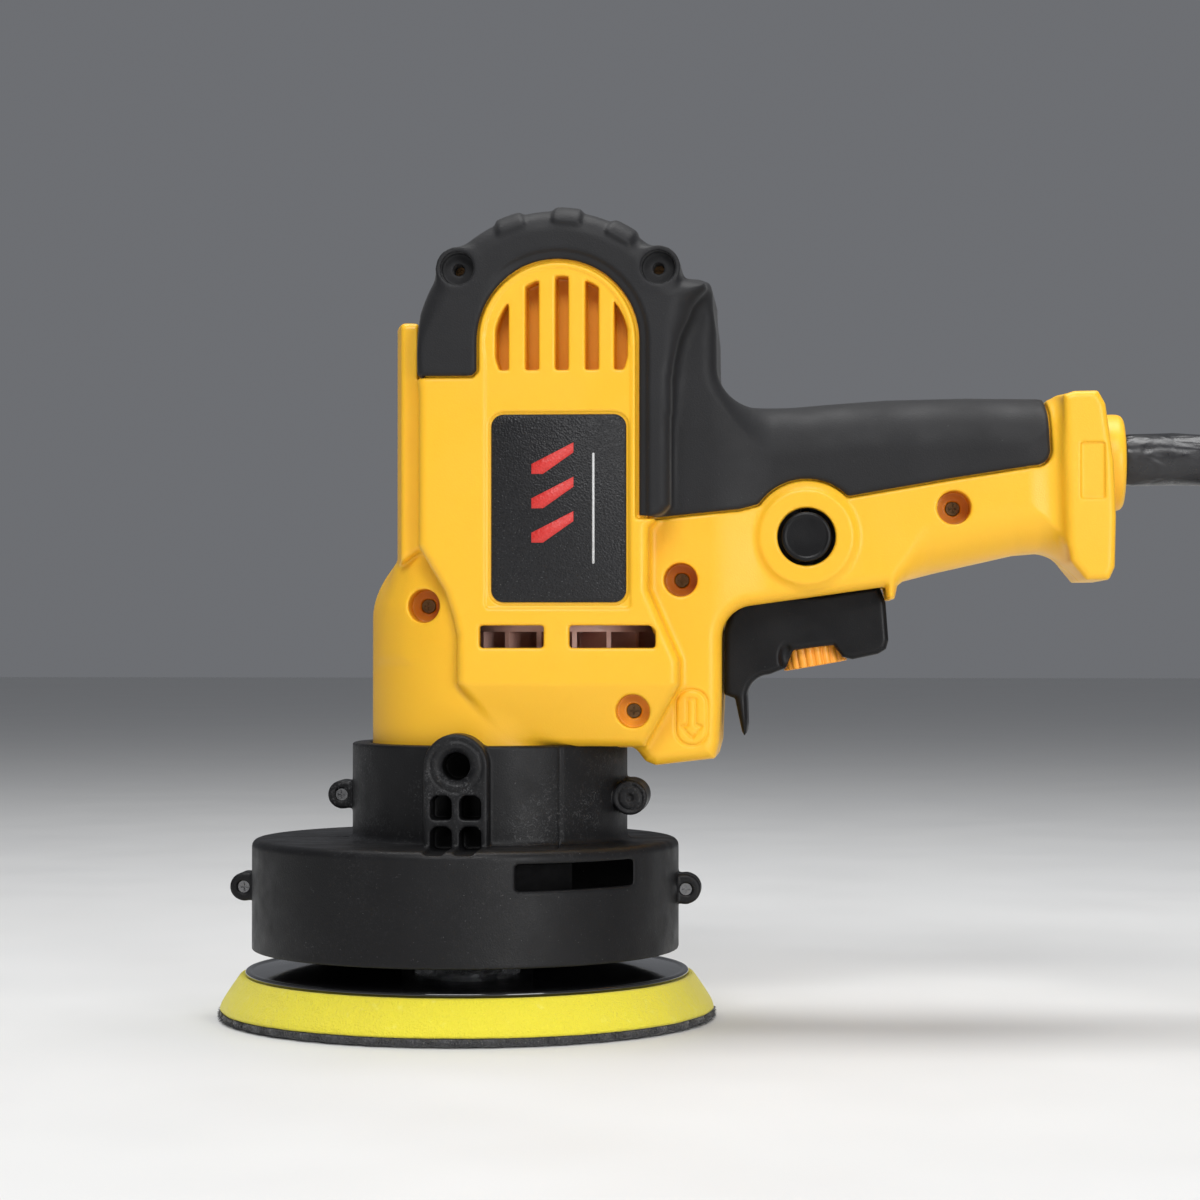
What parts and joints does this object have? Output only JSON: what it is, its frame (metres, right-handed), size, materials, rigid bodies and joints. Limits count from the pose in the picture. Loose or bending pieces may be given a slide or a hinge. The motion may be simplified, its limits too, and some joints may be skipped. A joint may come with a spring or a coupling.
{
  "type": "rotary polisher",
  "caption": "Electric car polisher: clamshell motor body with a straight rear handle, geared eccentric drive, shrouded foam pad, trigger with speed dial, lock button and mains cord.",
  "frame": {"origin": "centre of the pad's working face, where it rests on the work, on the axis of the output spindle", "axes": "+Z from the pad up to the motor head, +X from the head to the end of the handle, +Y to the operator's right when the handle points at them"},
  "size_m": [0.3659, 0.125, 0.1999],
  "materials": {
    "housing_plastic": "glossy moulded nylon, amber yellow",
    "grip_rubber": "matt over-moulded rubber with a fine grain",
    "label_film": "dark leather-grained film",
    "screw_steel": "yellow-zinc-plated steel",
    "bright_steel": "bright zinc-plated steel",
    "shroud_plastic": "satin black moulded nylon",
    "bearing_steel": "ground steel",
    "cast_aluminium": "die-cast aluminium",
    "lamination_steel": "stacked laminations",
    "enamelled_copper": "varnished copper wire",
    "brass": "pressed brass",
    "carbon": "carbon, dull",
    "inner_plastic": "matt moulded nylon",
    "fan_plastic": "unpainted moulded nylon",
    "hub_iron": "turned and phosphated iron",
    "capacitor_film": "moulded film capacitor",
    "wire_insulation": "black PVC insulated wire",
    "cord_rubber": "rubber sheathed cord",
    "pad_foam": "closed-cell polyurethane foam, lemon yellow",
    "hook_nylon": "black hook layer",
    "plate_nylon": "glossy glass-filled nylon",
    "trigger_plastic": "satin black moulded nylon",
    "dial_plastic": "orange moulded plastic"
  },
  "bodies": {
    "body": {"left_housing": "housing_plastic", "right_housing": "housing_plastic", "left_grip": "grip_rubber", "right_grip": "grip_rubber", "left_label": "label_film", "right_label": "label_film", "housing_screws": "screw_steel", "left_shroud": "shroud_plastic", "right_shroud": "shroud_plastic", "shroud_screws": "bright_steel", "side_handle_nuts": "bright_steel", "gear_case": "cast_aluminium", "gear_plate": "cast_aluminium", "gear_plate_screws": "bright_steel", "stator_core": "lamination_steel", "field_coils": "enamelled_copper", "brush_holders": "brass", "carbon_brushes": "carbon", "brush_springs": "bearing_steel", "fan_baffle": "inner_plastic", "motor_bearings": "bearing_steel", "spindle_bush": "brass", "spindle_bearing": "bearing_steel", "switch_body": "inner_plastic", "suppression_capacitor": "capacitor_film", "cord_clamp": "inner_plastic", "cord_clamp_screws": "bright_steel", "inner_leads": "wire_insulation", "trigger_spring": "bearing_steel", "lock_spring": "bearing_steel", "strain_relief": "cord_rubber", "cord_lead": "cord_rubber", "cord_coil": "cord_rubber", "plug_body": "cord_rubber", "plug_pins": "brass"},
    "armature": {"armature_shaft": "bearing_steel", "armature_core": "lamination_steel", "armature_windings": "enamelled_copper", "commutator": "enamelled_copper", "fan": "fan_plastic", "motor_pinion": "bearing_steel", "motor_bearing_rings": "bearing_steel"},
    "drive": {"output_gear": "bearing_steel", "output_spindle": "bearing_steel", "gear_key": "bearing_steel", "spindle_bearing_ring": "bearing_steel", "eccentric_hub": "hub_iron", "hub_screw": "bright_steel", "pad_bearing": "bearing_steel", "bearing_circlip": "bearing_steel"},
    "pad": {"pad_spindle": "bearing_steel", "pad_bearing_ring": "bearing_steel", "backing_plate": "plate_nylon", "pad_foam": "pad_foam", "pad_hook_face": "hook_nylon"},
    "trigger": {"trigger": "trigger_plastic"},
    "speed_dial": {"speed_dial": "dial_plastic"},
    "lock_button": {"lock_button": "trigger_plastic"}
  },
  "joints": [
    {"name": "drive_spin", "type": "hinge", "parent": "body", "child": "drive", "pos_m": [0, 0, 0.05], "axis": [0, 0, 1], "continuous": true},
    {"name": "armature_spin", "type": "hinge", "parent": "body", "child": "armature", "pos_m": [0.025, 0, 0.1], "axis": [0, 0, 1], "continuous": true},
    {"name": "pad_spin", "type": "hinge", "parent": "drive", "child": "pad", "pos_m": [0, 0.004, 0.02], "axis": [0, 0, 1], "continuous": true},
    {"name": "trigger_slide", "type": "slide", "parent": "body", "child": "trigger", "axis": [0, 0, 1], "range_m": [0, 0.005], "stiffness_N_per_m": 900, "springref_m": -0.004, "deforming": ["trigger_spring"]},
    {"name": "dial_turn", "type": "hinge", "parent": "trigger", "child": "speed_dial", "pos_m": [0.0876, 0, 0.0904], "axis": [-0.1736, 0, 0.9848], "range_deg": [-135, 135]},
    {"name": "lock_button_slide", "type": "slide", "parent": "body", "child": "lock_button", "axis": [0, 1, 0], "range_m": [0, 0.003], "stiffness_N_per_m": 600, "springref_m": -0.003, "deforming": ["lock_spring"]}
  ],
  "couplings": [
    {"joint": "armature_spin", "follows": "drive_spin", "ratio": -4}
  ]
}
